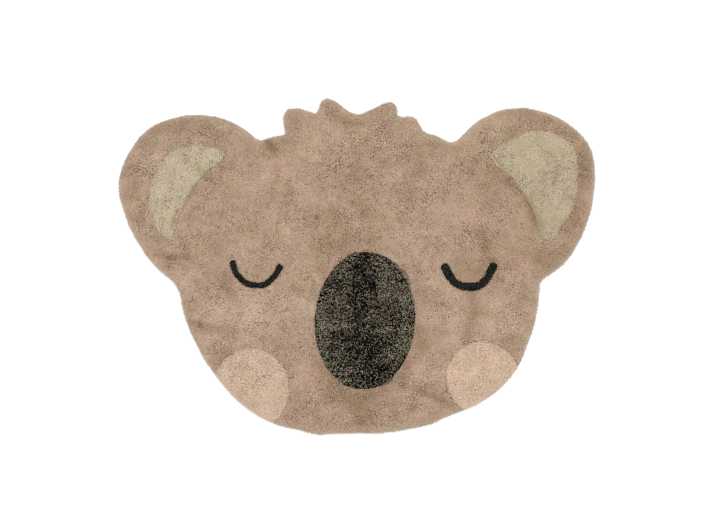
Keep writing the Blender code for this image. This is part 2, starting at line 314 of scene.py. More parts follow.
def makeYarnFibre():
    # fine upright fibres, as a height for bump
    group, given, result = newGroup("yarnFibre", [
        ("Fibre Width", "Float", 0.0006),
        ("Upright", "Float", 0.2),
    ], [("Height", "Float", None)])
    place = addNode(group, "TexCoord").outputs["Object"]
    tall = addNode(group, "CombineXYZ", X=1.0, Y=1.0, Z=given["Upright"])
    stretched = addNode(group, "VectorMath", {"operation": "MULTIPLY"}, at0=place, at1=tall.outputs[0])
    across = addNode(group, "Math", {"operation": "DIVIDE"}, at0=1.0, at1=given["Fibre Width"])
    noise = addNode(group, "TexNoise", Vector=stretched.outputs[0], Scale=across.outputs[0], Detail=2.0)
    group.links.new(noise.outputs["Fac"], result["Height"])
    return group


yarnShade = makeYarnShade()
yarnFibre = makeYarnFibre()


# Yarns. Each tuft carries its own strandTone from 0 to 1, which picks its colour along the blend.

yarnSurface = {
    "roughness": 0.95,
    "sheenRoughness": 0.6,
    "fibreBump": 0.8,
    "fibreHeight": 0.5 * mm,
}

# rootShade is how dark the painted shade is at the roots, mottle how strong the soft patches of painted
# light and shade are
yarns = {
    "brown": {
        "blend": ((0.0, (0.284, 0.183, 0.110)), (1.0, (0.590, 0.430, 0.314))),
        "rootShade": 0.65, "mottle": 0.18, "mottleSize": 0.045, "shine": 0.2, "sheen": 0.12,
        "drift": 0.24, "driftSize": 0.035,
    },
    "pale": {
        "blend": ((0.0, (0.354, 0.285, 0.182)), (1.0, (0.629, 0.532, 0.383))),
        "rootShade": 0.66, "mottle": 0.12, "mottleSize": 0.04, "shine": 0.2, "sheen": 0.12,
        "drift": 0.24, "driftSize": 0.03,
    },
    "nose": {  # a black and grey beige marl
        "blend": ((0.0, (0.0022, 0.0019, 0.0010)), (0.30, (0.0065, 0.0056, 0.0030)),
                  (0.52, (0.044, 0.038, 0.026)), (0.78, (0.162, 0.140, 0.098)),
                  (1.0, (0.50, 0.44, 0.325))),
        "rootShade": 0.10, "mottle": 0.2, "mottleSize": 0.05, "shine": 0.03, "sheen": 0.0,
        "drift": 0.9, "driftSize": 0.011,
    },
    "eye": {
        "blend": ((0.0, (0.0015, 0.0015, 0.0011)), (0.50, (0.0080, 0.0080, 0.0063)),
                  (1.0, (0.050, 0.054, 0.046))),
        "rootShade": 0.4, "mottle": 0.2, "mottleSize": 0.02, "shine": 0.08, "sheen": 0.0,
        "drift": 0.30, "driftSize": 0.02,
    },
    "blush": {
        "blend": ((0.0, (0.444, 0.308, 0.210)), (1.0, (0.728, 0.553, 0.421))),
        "rootShade": 0.68, "mottle": 0.10, "mottleSize": 0.04, "shine": 0.2, "sheen": 0.12,
        "drift": 0.24, "driftSize": 0.03,
    },
}


def makeYarn(name):
    yarn = yarns[name]
    material = bpy.data.materials.new(name + "Yarn")
    material.use_nodes = True
    tree = material.node_tree
    shader = tree.nodes["Principled BSDF"]
    shader.inputs["Roughness"].default_value = yarnSurface["roughness"]
    shader.inputs["Specular IOR Level"].default_value = yarn["shine"]
    shader.inputs["Sheen Weight"].default_value = yarn["sheen"]
    shader.inputs["Sheen Roughness"].default_value = yarnSurface["sheenRoughness"]
    read = {key: addNode(tree, "Attribute", {"attribute_name": key}).outputs["Fac"]
            for key in ("strandTone", "fromRoot", "paintedNapShade", "fray")}
    blend = addNode(tree, "ValToRGB", Fac=read["strandTone"])
    stops = blend.color_ramp.elements
    while len(stops) < len(yarn["blend"]):
        stops.new(0.5)
    for stop, (place, color) in zip(stops, yarn["blend"]):
        stop.position = place
        stop.color = (*color, 1)
    fibre = addNode(tree, "Group", {"node_tree": yarnFibre})
    shade = addNode(tree, "Group", {"node_tree": yarnShade}, Yarn=blend.outputs["Color"],
                    From_Root=read["fromRoot"], Nap=read["paintedNapShade"], Root_Shade=yarn["rootShade"],
                    Mottle=yarn["mottle"], Mottle_Size=yarn["mottleSize"],
                    Dye_Drift=yarn["drift"], Drift_Size=yarn["driftSize"], Fray=read["fray"],
                    Fibre=fibre.outputs["Height"])
    tree.links.new(shade.outputs["Color"], shader.inputs["Base Color"])
    bump = addNode(tree, "Bump", Strength=yarnSurface["fibreBump"],
                   Distance=yarnSurface["fibreHeight"], Height=fibre.outputs["Height"])
    tree.links.new(bump.outputs["Normal"], shader.inputs["Normal"])
    return material


materials = {name: makeYarn(name) for name in yarns}
print("yarns are dyed")


# Painted light and shade of the nap: strokes where the pile parts, lies over or stands up, in metres

paintedShadeMarks = {
    # start, end, half width, painted shade: under 0 is darker, over 0 lighter
    "whole face": [
        ((-0.080, 0.310), (0.220, 0.250), 0.170, -0.05),
        ((0.330, 0.230), (0.420, 0.100), 0.050, -0.07),
        ((-0.300, -0.100), (-0.160, -0.150), 0.100, 0.05),
        ((-0.500, 0.250), (-0.490, 0.110), 0.060, 0.045),
        ((-0.500, 0.320), (-0.400, 0.365), 0.050, -0.06),
    ],
    "left ear": [
        ((-0.565, 0.235), (-0.553, 0.178), 0.020, -0.17),
        ((-0.546, 0.128), (-0.543, 0.120), 0.018, -0.20),
        ((-0.533, 0.068), (-0.490, 0.072), 0.018, -0.13),
        ((-0.545, 0.308), (-0.503, 0.340), 0.020, -0.16),
        ((-0.470, 0.352), (-0.400, 0.344), 0.018, -0.10),
        ((-0.431, 0.363), (-0.427, 0.362), 0.015, -0.20),
        ((-0.380, 0.348), (-0.345, 0.325), 0.025, -0.11),
        ((-0.340, 0.328), (-0.322, 0.338), 0.014, -0.08),
        ((-0.285, 0.313), (-0.274, 0.298), 0.016, -0.18),
        ((-0.502, 0.283), (-0.455, 0.316), 0.018, 0.15),
        ((-0.520, 0.255), (-0.505, 0.270), 0.014, 0.08),
        ((-0.527, 0.150), (-0.508, 0.095), 0.013, 0.08),
        ((-0.402, 0.205), (-0.450, 0.140), 0.008, -0.12),
        ((-0.452, 0.140), (-0.464, 0.100), 0.008, -0.25),
        ((-0.505, 0.036), (-0.472, 0.022), 0.011, -0.25),
        ((-0.472, 0.022), (-0.425, 0.027), 0.009, -0.33),
        ((-0.425, 0.027), (-0.385, 0.031), 0.010, -0.10),
    ],
    "hair": [
        ((-0.222, 0.312), (-0.207, 0.293), 0.015, -0.52),
        ((-0.190, 0.322), (-0.162, 0.316), 0.014, -0.09),
        ((-0.160, 0.378), (-0.150, 0.368), 0.018, -0.09),
        ((-0.058, 0.386), (-0.044, 0.378), 0.017, -0.16),
        ((-0.027, 0.365), (0.012, 0.360), 0.013, -0.20),
        ((0.062, 0.386), (0.072, 0.362), 0.019, -0.15),
        ((0.105, 0.350), (0.110, 0.335), 0.022, -0.06),
        ((0.180, 0.309), (0.246, 0.296), 0.012, -0.14),
        ((-0.062, 0.320), (-0.040, 0.300), 0.036, 0.10),
        ((0.062, 0.312), (0.072, 0.304), 0.020, 0.07),
        ((-0.112, 0.325), (-0.100, 0.320), 0.026, 0.05),
    ],
    "forehead": [
        ((-0.264, 0.292), (-0.250, 0.276), 0.020, -0.08),
        ((-0.338, 0.247), (-0.322, 0.253), 0.013, -0.16),
        ((-0.385, 0.236), (-0.373, 0.222), 0.015, -0.11),
        ((-0.312, 0.186), (-0.301, 0.181), 0.017, -0.10),
        ((-0.423, 0.121), (-0.417, 0.119), 0.012, -0.13),
        ((-0.354, 0.133), (-0.340, 0.129), 0.013, -0.17),
        ((-0.271, 0.233), (-0.269, 0.229), 0.012, -0.08),
        ((-0.208, 0.176), (-0.204, 0.170), 0.016, -0.09),
        ((-0.130, 0.147), (-0.082, 0.140), 0.020, -0.07),
        ((-0.060, 0.138), (-0.050, 0.110), 0.019, -0.25),
        ((-0.102, 0.121), (-0.098, 0.119), 0.010, -0.15),
        ((-0.032, 0.231), (-0.028, 0.228), 0.010, -0.16),
        ((0.000, 0.290), (-0.006, 0.215), 0.020, -0.15),
        ((0.004, 0.165), (0.030, 0.122), 0.022, -0.20),
        ((-0.350, 0.046), (-0.338, 0.018), 0.020, -0.11),
        ((-0.243, 0.213), (-0.217, 0.236), 0.022, 0.08),
        ((-0.152, 0.210), (-0.132, 0.199), 0.025, 0.08),
        ((-0.165, 0.264), (-0.120, 0.272), 0.048, 0.06),
        ((-0.072, 0.190), (-0.066, 0.176), 0.018, 0.08),
        ((-0.165, 0.075), (-0.150, 0.070), 0.028, 0.09),
        ((-0.296, 0.052), (-0.288, 0.032), 0.020, 0.06),
        ((0.062, 0.264), (0.108, 0.262), 0.012, -0.12),
        ((0.124, 0.278), (0.130, 0.273), 0.013, -0.18),
        ((0.150, 0.300), (0.162, 0.242), 0.019, -0.15),
        ((0.134, 0.240), (0.136, 0.170), 0.018, -0.10),
        ((0.104, 0.192), (0.118, 0.190), 0.012, -0.10),
        ((0.070, 0.166), (0.078, 0.154), 0.017, 0.06),
        ((0.085, 0.218), (0.102, 0.226), 0.020, 0.06),
        ((0.192, 0.214), (0.226, 0.240), 0.026, 0.08),
        ((0.205, 0.152), (0.290, 0.142), 0.044, 0.07),
        ((0.102, 0.070), (0.150, 0.080), 0.028, 0.10),
        ((0.279, 0.086), (0.290, 0.110), 0.028, 0.06),
        ((0.160, 0.022), (0.165, -0.020), 0.020, 0.10),
        ((0.287, 0.240), (0.290, 0.238), 0.012, -0.20),
        ((0.299, 0.267), (0.301, 0.265), 0.010, -0.14),
        ((0.328, 0.205), (0.322, 0.136), 0.015, -0.15),
        ((0.315, 0.092), (0.321, 0.050), 0.014, -0.21),
        ((0.325, 0.048), (0.338, 0.010), 0.021, -0.18),
        ((0.350, 0.190), (0.345, 0.166), 0.014, -0.12),
        ((0.372, 0.074), (0.376, 0.050), 0.017, -0.11),
    ],
    "right ear": [
        ((0.352, 0.240), (0.376, 0.212), 0.019, -0.20),
        ((0.380, 0.216), (0.424, 0.168), 0.013, -0.15),
        ((0.432, 0.158), (0.463, 0.090), 0.015, -0.25),
        ((0.402, 0.036), (0.440, 0.029), 0.019, -0.16),
        ((0.462, 0.018), (0.528, 0.038), 0.021, -0.24),
        ((0.470, 0.000), (0.490, 0.004), 0.018, -0.12),
        ((0.345, 0.018), (0.382, 0.008), 0.019, -0.16),
        ((0.551, 0.080), (0.532, 0.098), 0.018, -0.13),
        ((0.555, 0.162), (0.546, 0.112), 0.016, -0.18),
        ((0.568, 0.292), (0.572, 0.212), 0.020, -0.30),
        ((0.514, 0.338), (0.546, 0.328), 0.014, -0.20),
        ((0.428, 0.376), (0.470, 0.364), 0.018, -0.18),
        ((0.410, 0.394), (0.440, 0.388), 0.012, -0.12),
        ((0.392, 0.334), (0.400, 0.350), 0.014, -0.20),
        ((0.376, 0.314), (0.382, 0.318), 0.012, -0.15),
        ((0.450, 0.290), (0.510, 0.130), 0.070, -0.105),
    ],
    "nose": [
        ((-0.078, 0.070), (-0.034, 0.042), 0.028, -0.22),
        ((-0.086, 0.040), (-0.092, -0.005), 0.026, -0.16),
        ((-0.028, 0.072), (0.032, 0.058), 0.022, -0.22),
        ((-0.106, -0.130), (-0.100, -0.205), 0.010, -0.14),
        ((-0.098, -0.242), (-0.042, -0.312), 0.026, -0.22),
        ((-0.092, -0.288), (-0.064, -0.328), 0.018, -0.12),
        ((-0.020, -0.326), (0.024, -0.334), 0.028, -0.24),
        ((0.040, -0.320), (0.120, -0.282), 0.018, -0.22),
        ((0.112, -0.274), (0.124, -0.248), 0.016, -0.20),
        ((0.150, -0.170), (0.166, -0.194), 0.021, -0.30),
        ((0.138, -0.212), (0.126, -0.246), 0.017, -0.18),
        ((0.149, 0.000), (0.152, -0.034), 0.014, -0.10),
        ((0.150, -0.062), (0.152, -0.150), 0.011, -0.12),
        ((0.157, -0.062), (0.178, -0.090), 0.014, -0.14),
    ],
    "left eye and cheek": [
        ((-0.326, -0.024), (-0.322, -0.062), 0.017, -0.26),
        ((-0.310, -0.080), (-0.298, -0.094), 0.013, -0.16),
        ((-0.262, -0.024), (-0.228, -0.032), 0.012, -0.09),
        ((-0.425, -0.098), (-0.421, -0.106), 0.014, -0.19),
        ((-0.416, -0.140), (-0.396, -0.143), 0.012, -0.25),
        ((-0.386, -0.150), (-0.312, -0.158), 0.013, -0.22),
        ((-0.330, -0.213), (-0.320, -0.216), 0.013, -0.13),
        ((-0.190, -0.203), (-0.165, -0.207), 0.013, -0.15),
        ((-0.171, -0.239), (-0.169, -0.243), 0.012, -0.10),
        ((-0.160, -0.054), (-0.142, -0.056), 0.015, -0.16),
        ((-0.110, -0.060), (-0.106, -0.070), 0.013, -0.13),
        ((-0.350, -0.112), (-0.268, -0.122), 0.045, 0.17),
        ((-0.262, -0.098), (-0.195, -0.104), 0.038, 0.10),
        ((-0.276, -0.150), (-0.266, -0.172), 0.028, 0.10),
        ((-0.164, -0.078), (-0.142, -0.082), 0.016, 0.13),
        ((-0.402, -0.124), (-0.398, -0.126), 0.014, 0.13),
        ((-0.440, -0.046), (-0.422, -0.046), 0.014, 0.12),
        ((-0.386, -0.190), (-0.372, -0.178), 0.018, 0.12),
    ],
    "right eye and cheek": [
        ((0.262, -0.014), (0.306, -0.016), 0.028, -0.27),
        ((0.289, -0.068), (0.296, -0.116), 0.015, -0.27),
        ((0.286, -0.130), (0.277, -0.186), 0.013, -0.19),
        ((0.421, -0.054), (0.412, -0.076), 0.015, -0.16),
        ((0.401, -0.094), (0.398, -0.098), 0.013, -0.13),
        ((0.352, -0.030), (0.362, -0.034), 0.013, -0.15),
        ((0.364, -0.185), (0.410, -0.174), 0.012, -0.15),
        ((0.372, -0.200), (0.394, -0.216), 0.011, -0.09),
        ((0.192, -0.132), (0.180, -0.112), 0.017, 0.13),
        ((0.240, -0.140), (0.242, -0.182), 0.023, 0.16),
        ((0.230, -0.084), (0.236, -0.102), 0.024, 0.09),
        ((0.188, -0.044), (0.192, -0.048), 0.017, 0.11),
        ((0.340, -0.150), (0.392, -0.140), 0.024, 0.16),
        ((0.346, -0.108), (0.372, -0.116), 0.023, 0.09),
        ((0.318, -0.174), (0.324, -0.178), 0.014, 0.11),
        ((0.200, -0.172), (0.216, -0.174), 0.016, -0.12),
    ],
    "chin": [
        ((-0.008, -0.350), (0.002, -0.385), 0.022, -0.22),
        ((0.002, -0.386), (0.022, -0.391), 0.016, -0.20),
        ((0.012, -0.346), (0.032, -0.372), 0.016, -0.12),
        ((0.122, -0.300), (0.165, -0.312), 0.010, -0.15),
        ((0.165, -0.312), (0.216, -0.336), 0.011, -0.22),
        ((0.216, -0.336), (0.236, -0.350), 0.014, -0.14),
        ((0.130, -0.361), (0.152, -0.350), 0.013, -0.16),
        ((0.097, -0.379), (0.103, -0.383), 0.014, -0.14),
        ((0.058, -0.338), (0.066, -0.344), 0.014, -0.11),
        ((-0.155, -0.320), (-0.151, -0.366), 0.016, -0.11),
        ((-0.105, -0.368), (-0.070, -0.382), 0.018, -0.09),
        ((-0.146, -0.292), (-0.140, -0.262), 0.019, 0.09),
        ((0.150, -0.276), (0.218, -0.270), 0.028, 0.13),
        ((0.122, -0.319), (0.128, -0.321), 0.011, 0.12),
        ((0.182, -0.342), (0.188, -0.346), 0.018, 0.07),
    ],
}
everyPaintedShadeMark = sum(paintedShadeMarks.values(), [])
# soft swells of painted light and shade over the whole rug
paintedShadeSwells = (
    # how strong, longest, shortest, stretched along X and Y
    (0.014, 0.20, 0.06, (1, 1)),
    (0.016, 0.08, 0.025, (1.5, 0.8)),
)

# Where the pile is rougher than elsewhere, or smoother
roughPatches = [
    # place, radius, more or less rough
    ((0.000, 0.170), 0.140, 0.35),
    ((0.080, 0.300), 0.120, 0.12),
    ((0.335, 0.270), 0.080, 0.25),
    ((0.318, 0.075), 0.065, 0.30),
    ((-0.250, -0.170), 0.100, 0.18),
    ((0.045, -0.305), 0.090, 0.22),
    ((-0.460, 0.200), 0.090, 0.20),
    ((0.500, 0.220), 0.090, 0.25),
    ((0.000, -0.350), 0.110, 0.22),
    ((-0.380, 0.330), 0.090, 0.15),
    ((-0.180, 0.300), 0.100, -0.20),
    ((0.290, -0.150), 0.100, -0.15),
    ((-0.065, 0.010), 0.050, 0.30),
    ((0.030, 0.085), 0.060, 0.20),
]
evenRoughness = 0.58
roughLimits = (0.2, 2.4)
roughSwells = (
    # how strong, longest, shortest
    (0.35, 0.20, 0.06),
    (0.38, 0.050, 0.014),
)

# Where more light or more dark plies come up in the nose's marl
marlMarks = [
    # start, end, half width, how much lighter
    ((0.012, 0.004), (0.018, -0.032), 0.030, -0.18),
    ((0.022, -0.012), (0.040, -0.056), 0.022, -0.09),
    ((0.008, -0.040), (0.012, -0.130), 0.030, -0.15),
    ((-0.046, -0.180), (0.060, -0.186), 0.018, -0.21),
    ((0.010, -0.206), (0.042, -0.262), 0.040, -0.21),
    ((0.070, -0.272), (0.092, -0.242), 0.020, -0.13),
    ((0.085, -0.095), (0.102, -0.136), 0.014, -0.13),
    ((-0.066, -0.055), (-0.060, -0.070), 0.016, -0.11),
    ((-0.052, -0.024), (-0.038, 0.000), 0.020, 0.13),
    ((-0.062, -0.086), (-0.035, -0.086), 0.013, 0.15),
    ((-0.086, -0.148), (-0.020, -0.149), 0.011, 0.23),
    ((-0.088, -0.126), (-0.086, -0.150), 0.016, 0.11),
    ((0.076, -0.004), (0.086, -0.050), 0.026, 0.13),
    ((0.060, -0.068), (0.112, -0.073), 0.011, 0.17),
    ((0.060, -0.160), (0.065, -0.166), 0.014, 0.17),
    ((0.122, -0.168), (0.116, -0.202), 0.020, 0.15),
    ((0.088, -0.222), (0.098, -0.230), 0.018, 0.23),
    ((0.126, -0.088), (0.130, -0.120), 0.018, 0.13),
    ((-0.020, -0.270), (-0.026, -0.290), 0.015, 0.08),
    ((-0.078, -0.214), (-0.050, -0.246), 0.016, 0.08),
]


markFade = 1.2  # how fast a mark fades out to its sides


def markedAs(points, marks):
    # how strongly the marks show at each point, and the way they part the tufts there
    shade = np.zeros(len(points))
    parting = np.zeros((len(points), 2))
    for start, end, halfWidth, mark in marks:
        run = np.array(end) - start
        share = np.clip((points - start) @ run / (run @ run), 0, 1)
        away = (points - start - run * share[:, None]) / halfWidth
        fade = mark * np.exp(-markFade * (away ** 2).sum(1))
        shade += fade
        parting -= away * fade[:, None]
    return shade, parting


def roughness(points):
    rough = np.full(len(points), evenRoughness)
    for place, radius, more in roughPatches:
        off = np.linalg.norm(points - np.array(place), axis=1) / radius
        rough += more * np.exp(-off ** 2)
    for seed, (strength, longest, shortest) in enumerate(roughSwells, seeds["rough"]):
        rough *= np.exp(strength * waves(points, longest, shortest, seed))
    return np.clip(rough, *roughLimits)


# The pile. Every tuft is a short lock of yarn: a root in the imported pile, a belly and a cut tip.

pile = {
    "groundTop": 2 * mm,
    "searchHeight": 12 * mm,  # about the pile's top, where a missed height is looked for
    "packed": 0.72,  # of the pile's height is packed yarn, which the tufts' ends stand out of
    "packedClear": 0.05 * mm,  # just over the ground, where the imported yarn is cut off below
    "rowGrid": (1.075, 0.93, 0.54),  # of the pitch: along a row, between rows, every second row's shift
    "rowWander": 0.7 * mm,  # the tufted rows weave by this much
    "rowWaves": (0.16, 0.04),  # over lengths between these
    "rootSunk": 1.2 * mm,  # a tuft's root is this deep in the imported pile
    "shake": (0.05, 0.08),  # of the pitch, and as much more where the pile is rough
    "leanTurns": (0.5, 0.15),  # the lean turns slowly over the rug, over lengths between these
    "rimWidth": 13 * mm,  # over which the tufts fan out to the rug's edge
    "rimInset": 5.5 * mm,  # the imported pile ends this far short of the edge
    "rimReach": 6 * mm,  # an area of pile this near to the rug's edge has its own rim tufts
    "clumpLongest": 14 * mm,
    "clumpShortest": 5 * mm,
    "clumpPatches": (0.5, 0.8, 0.20, 0.05),  # weakest, how much more, longest and shortest
    "clumpFade": 7 * mm,  # the clumps fade out as near a carved line as this
    "clumpPull": 0.30 * mm,
    "clumpLift": 0.15 * mm,
    "markStrength": 0.87,
    "partingPull": 5 * mm,
    "unevenTop": 0.30 * mm,
    "edgeLevel": 8.5 * mm,  # an area's edge is read from its solid at this height
    "edgeGap": 0.2 * mm,  # no tuft stands closer to a carved line
    "edgeWidth": 3.2 * mm,  # this near to a carved line the tufts lean over it, and fill half of it
    "edgeLean": 1.4 * mm,
    "edgeFill": 2.2 * mm,
    "rimCalm": (7 * mm, 25 * mm),  # between these depths the pile gets as rough as in the middle
    "rimCalmRough": (0.45, 0.55),  # the share of the roughness at the rim, and what is added inside
    "rimRough": 0.5,  # and for the tufts of the rim itself
    "rimPitch": 2.4 * mm,
    "rimRadius": 1.45 * mm,
    "rimShake": 0.5 * mm,
    "rimUneven": 0.3 * mm,
    "rimRoot": 2.5 * mm,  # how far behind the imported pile's wall the rim's tufts start
    "rimSlant": (0.45, 0.6 * mm),  # they start at this share of their height, and so much higher
    "rimPaintedShade": (-0.10, 8 * mm, 18 * mm),  # painted shade: how much darker the yarn's sides show, as deep as this
    "rimPaintedLight": (0.20, 4 * mm),  # painted light: the outermost yarn is lighter, as if it catches light from the floor
    "rimFray": (0.16, 6 * mm),  # and is paler, where its ends are worn open
}

rimRows = [
    # height over the floor, how far in from the edge
    (1.7 * mm, 1.2 * mm),
    (3.8 * mm, 0.5 * mm),
    (6.0 * mm, 0.2 * mm),
    (8.4 * mm, 0.5 * mm),
]

# Each kind of pile: the spacing of its tufts, how thick they are, how far they all lean together,
# how far each leans on its own along X and Y, and how unevenly they lean over a carved line
brownPile = {
    "yarn": "brown", "slot": "brown_pile", "strips": 4,
    "pitch": 2.65 * mm, "radius": 1.78 * mm, "lean": 0.7 * mm,
    "mixed": (0.8 * mm, 0.8 * mm), "spill": 0.5 * mm,
}
palePile = {
    "yarn": "pale", "slot": "pale_pile", "strips": 1,
    "pitch": 2.65 * mm, "radius": 1.82 * mm, "lean": 0.7 * mm,
    "mixed": (0.75 * mm, 0.75 * mm), "spill": 0.5 * mm,
}
blushPile = {**palePile, "yarn": "blush", "slot": "cheek_pile"}
nosePile = {
    "yarn": "nose", "slot": "nose_pile", "strips": 1,
    "pitch": 2.0 * mm, "radius": 0.95 * mm, "lean": 1.0 * mm,
    "mixed": (2.6 * mm, 1.1 * mm), "spill": 1.8 * mm,
}
eyePile = {
    "yarn": "eye", "slot": "eye_pile", "strips": 1,
    "pitch": 2.3 * mm, "radius": 1.72 * mm, "lean": 0.5 * mm,
    "mixed": (0.9 * mm, 0.9 * mm), "spill": 1.7 * mm,
}

# The field is cut into strips, so that no piece gets too many triangles
areas = {
    "pile_field": {"name": "brown", **brownPile},
    "inner_ear_left": {"name": "leftEar", **palePile},
    "inner_ear_right": {"name": "rightEar", **palePile},
    "nose": {"name": "nose", **nosePile},
    "eye_left": {"name": "leftEye", **eyePile},
    "eye_right": {"name": "rightEye", **eyePile},
    "cheek_left": {"name": "leftCheek", **blushPile},
    "cheek_right": {"name": "rightCheek", **blushPile},
}

# Where the cut pile was teased over a carved line: the nose's edge moves by this much there
teased = [
    # place, radius, move
    ((0.114, -0.018), 0.034, (0.010, 0.003)),
    ((-0.010, 0.030), 0.022, (-0.006, 0.004)),
    ((0.120, -0.238), 0.026, (-0.007, 0.001)),
    ((0.078, -0.288), 0.026, (0.006, -0.005)),
]


def pileEdges(node):
    edges = sliceAt(node, pile["edgeLevel"])
    for place, radius, move in teased:
        near = np.exp(-(np.linalg.norm(edges - np.array(place), axis=2) / radius) ** 2)
        edges = edges + near[:, :, None] * np.array(move)
    return edges


footprint = sliceAt("pile_field", 1.9 * mm)  # under the pockets, so it is the whole rug's outline
footprintTuck = 1.05 * mm  # at this height the cloth's edge is tucked in by this much


def rimDepth(points):
    depth, inward = depthInside(points, footprint)
    return depth + footprintTuck, inward


def drawnIn(points, depth, inward):
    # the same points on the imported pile, which ends short of the rug's edge
    inset = pile["rimInset"] * np.clip(1 - depth / pile["rimWidth"], 0, 1)
    return points + inward * inset[:, None]


def packedHeight(top):
    return pile["groundTop"] + (top - pile["groundTop"]) * pile["packed"]


def tuftSpots(edges, pitch):
    # staggered rows that wander a little, as a tufting gun leaves them
    low, high = edges.reshape(-1, 2).min(0), edges.reshape(-1, 2).max(0)
    wide, tall, offset = pile["rowGrid"]
    longest, shortest = pile["rowWaves"]
    rows = np.arange(low[1], high[1], pitch * tall)
    across = np.arange(low[0], high[0], pitch * wide)
    x, y = np.meshgrid(across, rows)
    x = x + (np.arange(len(rows)) % 2)[:, None] * pitch * offset
    spots = np.stack([x.ravel(), y.ravel()], 1)
    wander = [waves(spots, longest, shortest, seeds["rows"] + axis) for axis in (0, 1)]
    spots += pile["rowWander"] * np.stack(wander, 1)
    depth, inward = depthInside(spots, edges)
    keep = depth > pile["edgeGap"]
    return spots[keep], depth[keep], inward[keep]


def rimSpots(edges):
    # places along the rug's edge where this area of pile reaches it, and the way inwards
    start, run = footprint[:, 0], footprint[:, 1] - footprint[:, 0]
    length = np.linalg.norm(run, axis=1)
    reached = np.cumsum(length)
    places = np.arange(0, reached[-1], pile["rimPitch"])
    edge = np.searchsorted(reached, places)
    share = 1 - (reached[edge] - places) / length[edge]
    spots = start[edge] + run[edge] * share[:, None]
    inward = np.stack([-run[edge, 1], run[edge, 0]], 1) / length[edge, None]
    inward[~insideOf(spots + inward * 0.5 * mm, footprint)] *= -1
    spots = spots - inward * footprintTuck
    here = insideOf(spots + inward * pile["rimReach"], edges)
    return spots[here], inward[here]


def paintedShadeField(spots, depth):
    # painted light and shade of the nap: the marks, the swells, the darker rim and the lighter
    # outermost yarn
    shade, calm, lively = pile["rimPaintedShade"]
    paintedLight, fade = pile["rimPaintedLight"]
    paintedNapShade = pile["markStrength"] * markedAs(spots, everyPaintedShadeMark)[0]
    for seed, (strength, longest, shortest, stretch) in enumerate(paintedShadeSwells, seeds["paintedNapShade"]):
        paintedNapShade = paintedNapShade + strength * waves(spots, longest, shortest, seed, stretch)
    paintedNapShade = paintedNapShade + shade * (1 - smooth((depth - calm) / (lively - calm)))
    return paintedNapShade + paintedLight * np.exp(-depth / fade)


def topTufts(node, own, edges, dice, seed):
    spots, gap, inward = tuftSpots(edges, own["pitch"])
    rim = rimDepth(spots)
    calm, lively = pile["rimCalm"]
    atRim, inside = pile["rimCalmRough"]
    rough = roughness(spots) * (atRim + inside * smooth((rim[0] - calm) / (lively - calm)))
    even, uneven = pile["shake"]
    spots += dice.normal(0, own["pitch"], spots.shape) * (even + uneven * rough)[:, None]
    top = topHeights(node, spots)
    value, rise = ripples(spots, pile["clumpLongest"], pile["clumpShortest"], seed)
    weakest, more, longest, shortest = pile["clumpPatches"]
    patches = smooth(0.5 + 0.6 * waves(spots, longest, shortest, seeds["clumps"] + seed))
    clump = rough * (weakest + more * patches)
    straight = smooth(gap / pile["clumpFade"])
    turn = waves(spots, *pile["leanTurns"], seeds["lean"]) * pi
    lean = np.stack([np.cos(turn), np.sin(turn)], 1) * own["lean"]
    lean += rise * (pile["clumpPull"] * clump * straight)[:, None]
    lean += markedAs(spots, everyPaintedShadeMark)[1] * pile["partingPull"]
    lean += dice.normal(0, 1, spots.shape) * own["mixed"] * rough[:, None]
    edge = 1 - smooth(gap / pile["edgeWidth"])
    lean -= inward * (dice.normal(pile["edgeLean"], own["spill"], len(spots)) * edge)[:, None]
    height = top + edge * pile["edgeFill"] + value * pile["clumpLift"] * clump
    height = height + dice.normal(0, pile["unevenTop"], len(spots)) * rough
    root = np.column_stack([drawnIn(spots, *rim), packedHeight(top) - pile["rootSunk"]])
    return root, np.column_stack([spots + lean, height]), rough, rim[0]


def rimTufts(edges, dice):
    spots, inward = rimSpots(edges)
    slant, lift = pile["rimSlant"]
    roots, tips = [], []
    for height, inset in rimRows:
        shake = dice.normal(0, pile["rimShake"], spots.shape)
        reach = spots + inward * inset + shake
        start = spots + inward * (pile["rimInset"] + pile["rimRoot"])
        level = np.full(len(spots), height)
        foot = pile["groundTop"] + slant * (level - pile["groundTop"]) + lift
        roots.append(np.column_stack([start, foot]))
        tips.append(np.column_stack([reach, level + dice.normal(0, pile["rimUneven"], len(spots))]))
    return np.concatenate(roots), np.concatenate(tips)


# How light the tufts are along their yarn's blend, and how the nose's black and beige plies mix
tones = {
    "usual": 0.60,
    "mixed": (0.09, 0.09),  # how much they differ, and as much more where the pile is rough
    "paintedPartingShade": 0.60,  # painted shade: how much darker the cut ends are that lie deep in a parting
    "partingFrom": (1.0, 1.4),  # where the parting waves are this high, and this much higher at most
    "partingDepth": 0.55,
    "partingEven": (0.5, 1.0),  # from the lightest to the darkest end in a parting
    "marlMiddle": (0.016, 0.105),  # the nose's middle in X, and half its width
    "marl": 0.49,
    "marlSides": 0.13,  # lighter to the sides
    "streaks": 0.07,
    "flecks": 0.06,
    "marlMixed": 0.50,
}
toneWaves = {
    # longest, shortest, seed, stretched along X and Y, how many
    "paintedPartingShade": (0.013, 0.005, seeds["paintedPartingShade"], (1.3, 0.9), 90),
    "streaks": (0.050, 0.008, seeds["streaks"], (3.2, 0.8), 90),
    "flecks": (0.010, 0.0055, seeds["flecks"], (1.6, 0.9), 90),
}


